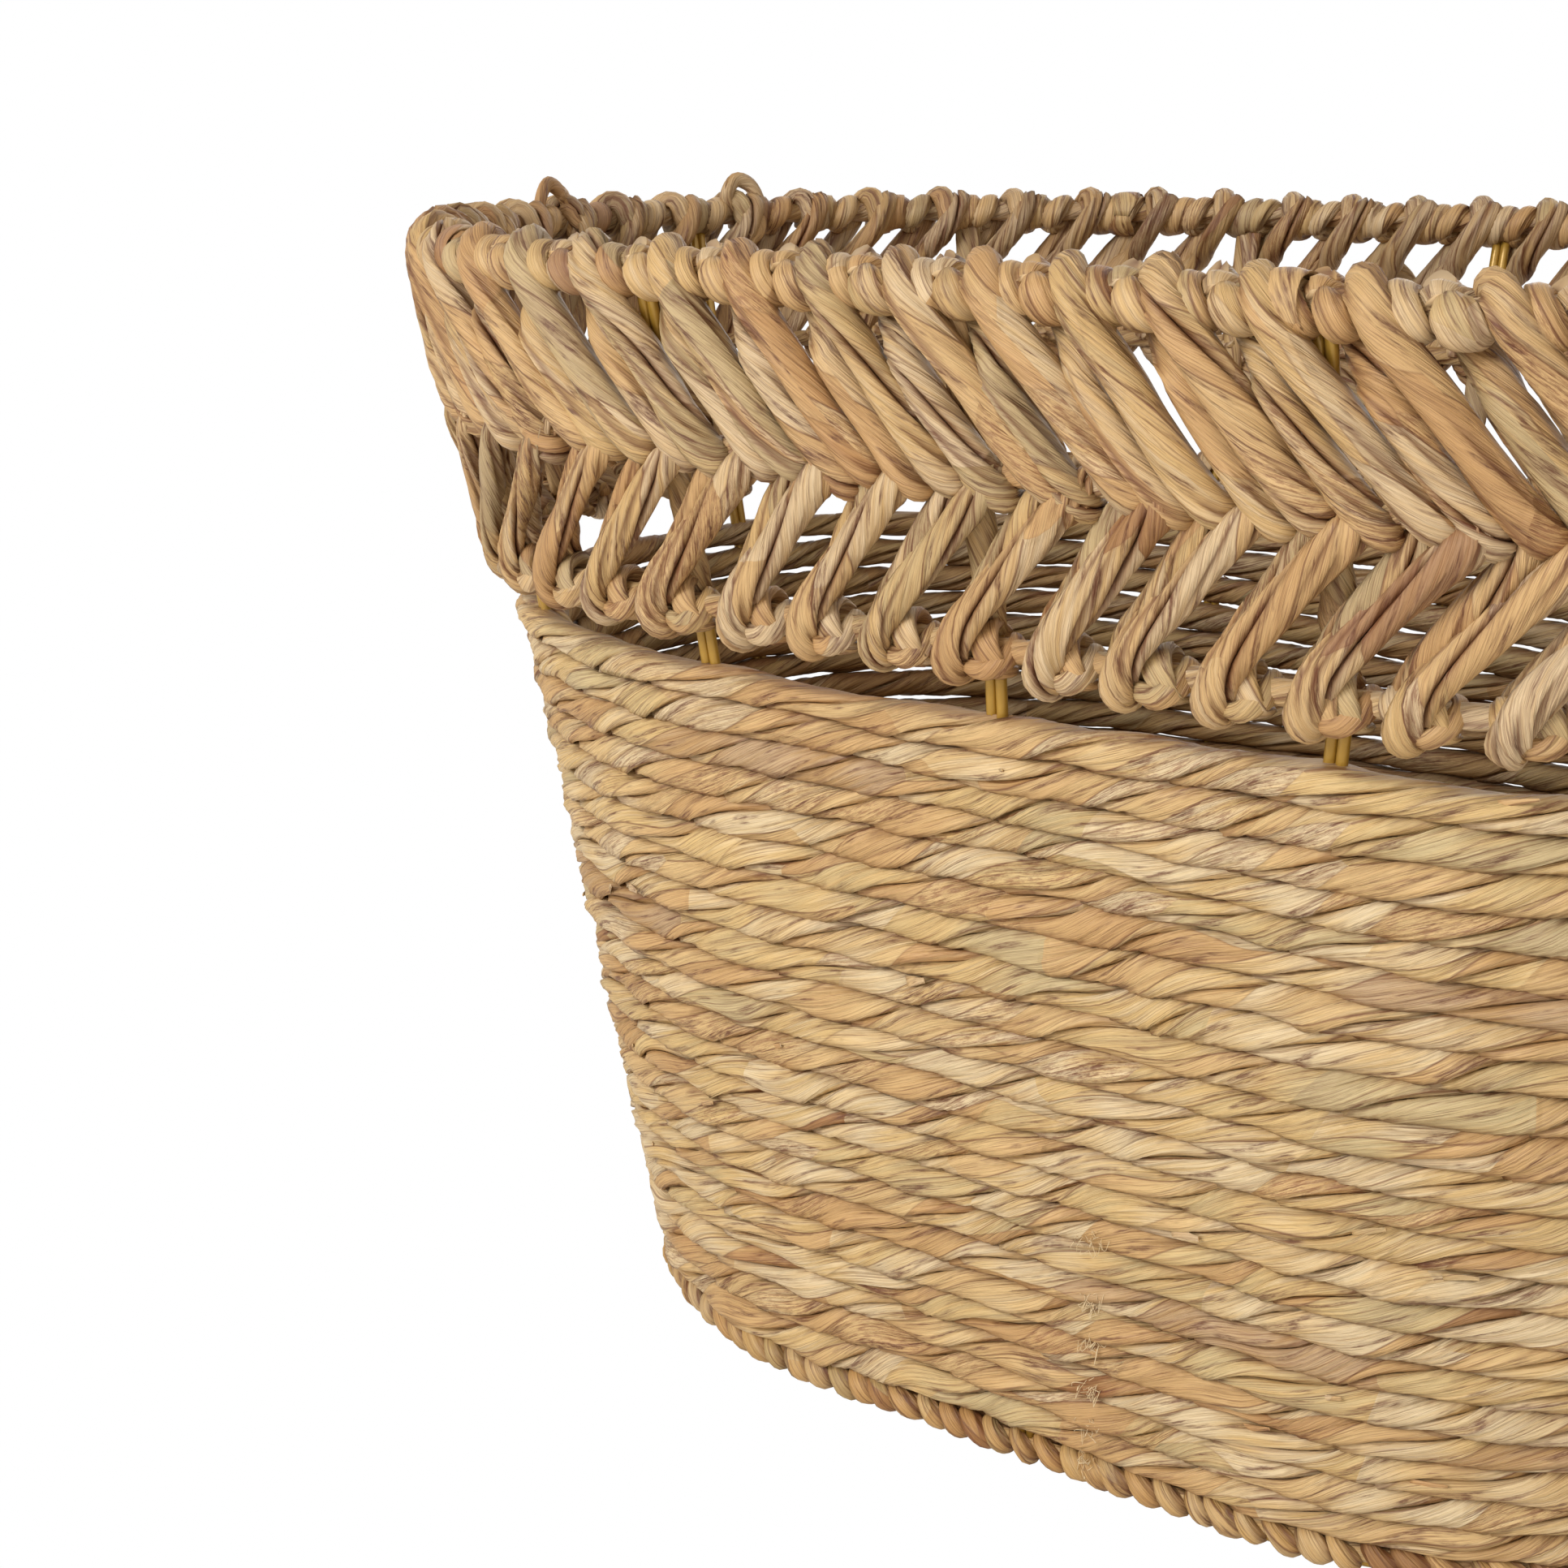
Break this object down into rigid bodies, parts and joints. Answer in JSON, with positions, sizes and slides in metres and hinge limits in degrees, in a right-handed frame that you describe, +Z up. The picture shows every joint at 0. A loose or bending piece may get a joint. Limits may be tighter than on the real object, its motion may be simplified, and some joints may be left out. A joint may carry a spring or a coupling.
{
  "type": "oval storage basket",
  "caption": "Oval open storage basket of twined leaf rope on a painted wire frame, with an open zigzag band of leaning strands under the rim and a wrapped foot.",
  "frame": {"origin": "centre of the foot's underside, on the surface that the basket stands on", "axes": "+X along the oval's length, +Y across it, +Z up; the broad front faces -Y"},
  "size_m": [0.5, 0.327, 0.31],
  "materials": {
    "leaf_rope": "dry twisted leaf, matt to satin, straw to khaki with brown streaks",
    "leaf_band": "flattened dry leaf strands, satin, warm tan with cream and brown streaks",
    "leaf_foot": "tightly wrapped dry leaf, matt, honey brown",
    "leaf_floor": "woven dry leaf, matt",
    "frame_paint": "glossy mustard gold paint on steel wire"
  },
  "bodies": {
    "root": {"rim_wire": "frame_paint", "middle_wire": "frame_paint", "hoop_wire": "frame_paint", "base_wire": "frame_paint", "stay_01": "frame_paint", "stay_02": "frame_paint", "stay_03": "frame_paint", "stay_04": "frame_paint", "stay_05": "frame_paint", "stay_06": "frame_paint", "stay_07": "frame_paint", "stay_08": "frame_paint", "stay_09": "frame_paint", "stay_10": "frame_paint", "stay_11": "frame_paint", "stay_12": "frame_paint", "stay_13": "frame_paint", "stay_14": "frame_paint", "base_cross_wire_01": "frame_paint", "base_cross_wire_02": "frame_paint", "base_cross_wire_03": "frame_paint", "base_cross_wire_04": "frame_paint", "rope_row_01": "leaf_rope", "rope_row_02": "leaf_rope", "rope_row_03": "leaf_rope", "rope_row_04": "leaf_rope", "rope_row_05": "leaf_rope", "rope_row_06": "leaf_rope", "rope_row_07": "leaf_rope", "rope_row_08": "leaf_rope", "rope_row_09": "leaf_rope", "rope_row_10": "leaf_rope", "rope_row_11": "leaf_rope", "rope_row_12": "leaf_rope", "rope_row_13": "leaf_rope", "rope_row_14": "leaf_rope", "rope_row_15": "leaf_rope", "rope_row_16": "leaf_rope", "rope_row_17": "leaf_rope", "rope_row_18": "leaf_rope", "rope_row_19": "leaf_rope", "rope_row_20": "leaf_rope", "rope_row_21": "leaf_rope", "rope_row_22": "leaf_rope", "chevron_panel_01": "leaf_band", "chevron_panel_02": "leaf_band", "chevron_panel_03": "leaf_band", "chevron_panel_04": "leaf_band", "chevron_panel_05": "leaf_band", "chevron_panel_06": "leaf_band", "chevron_panel_07": "leaf_band", "chevron_panel_08": "leaf_band", "chevron_panel_09": "leaf_band", "chevron_panel_10": "leaf_band", "chevron_panel_11": "leaf_band", "chevron_panel_12": "leaf_band", "chevron_panel_13": "leaf_band", "chevron_panel_14": "leaf_band", "foot_wrap": "leaf_foot", "base_mat": "leaf_floor"}
  },
  "joints": []
}
